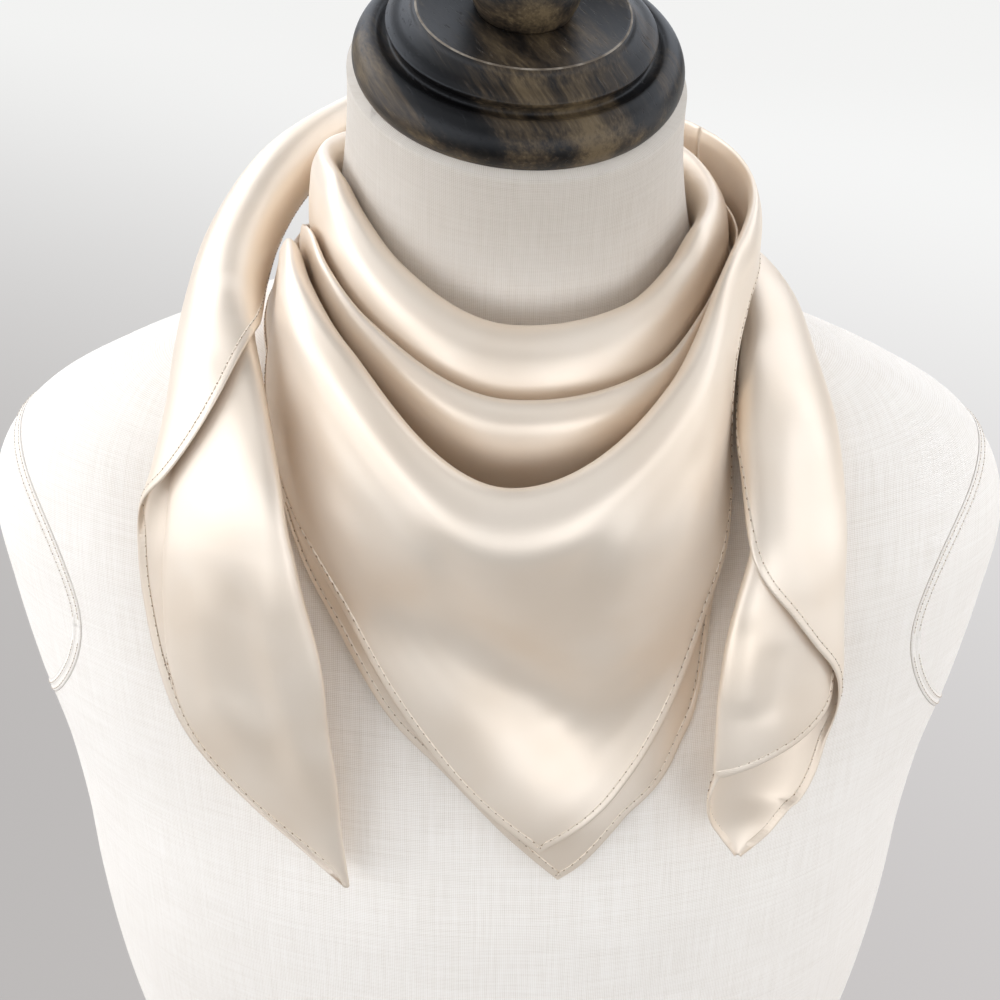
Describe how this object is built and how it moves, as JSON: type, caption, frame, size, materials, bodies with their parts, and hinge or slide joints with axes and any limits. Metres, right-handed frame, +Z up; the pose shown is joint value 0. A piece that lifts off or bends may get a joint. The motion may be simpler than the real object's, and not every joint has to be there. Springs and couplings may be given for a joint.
{
  "type": "silk square scarf on a dress form",
  "caption": "Satin square scarf folded on its diagonal and wound round a dress form's neck in rolled folds, with a pointed cowl and a tail over each shoulder.",
  "frame": {"origin": "middle of the dress form's flat base, on the surface it stands on", "axes": "+Z up, -Y towards the form's front, +X to the form's left arm side"},
  "size_m": [0.3836, 0.2376, 0.5717],
  "materials": {
    "silk_satin": "champagne ivory satin",
    "linen": "natural plain-weave linen",
    "dark_wood": "dark stained, satin"
  },
  "bodies": {
    "root": {"collar_roll": "silk_satin", "middle_fold": "silk_satin", "cowl_panel": "silk_satin", "under_layer": "silk_satin", "nape_wrap_left": "silk_satin", "left_tail": "silk_satin", "nape_wrap_right": "silk_satin", "right_tail": "silk_satin", "dress_form": "linen", "neck_cap": "dark_wood", "finial": "dark_wood"}
  },
  "joints": []
}
